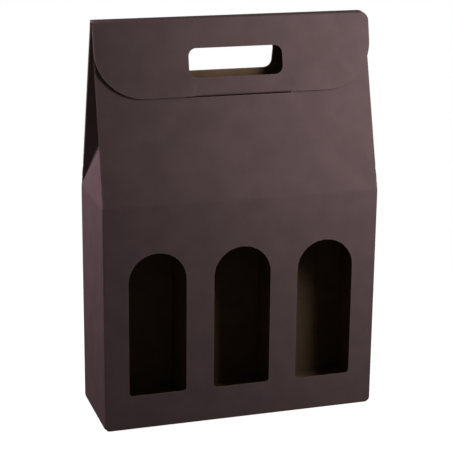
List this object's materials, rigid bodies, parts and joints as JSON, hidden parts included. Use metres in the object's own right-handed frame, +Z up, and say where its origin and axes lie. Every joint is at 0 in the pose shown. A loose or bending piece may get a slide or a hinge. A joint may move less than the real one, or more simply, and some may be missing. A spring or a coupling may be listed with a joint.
{
  "type": "bottle shipping box",
  "caption": "Upright folded carrier carton for bottles, with arched windows, gable top, side gussets, handle hole and a tuck-in lid.",
  "frame": {"origin": "on the floor, under the middle of the box's base", "axes": "+X to the right along the front, +Y from the front with the windows to the back, +Z up"},
  "size_m": [0.27, 0.09, 0.385],
  "materials": {
    "board_dark": "matt micro-corrugated board, dark purple-brown outside and kraft inside",
    "board_kraft": "plain kraft micro-corrugated board"
  },
  "bodies": {
    "carton": {"carton": "board_dark", "divider": "board_kraft"},
    "lid": {"lid": "board_dark"}
  },
  "joints": [
    {"name": "lid_hinge", "type": "hinge", "parent": "carton", "child": "lid", "pos_m": [0, 0.0036, 0.38425], "axis": [-1, 0, 0], "range_deg": [0, 210]}
  ]
}
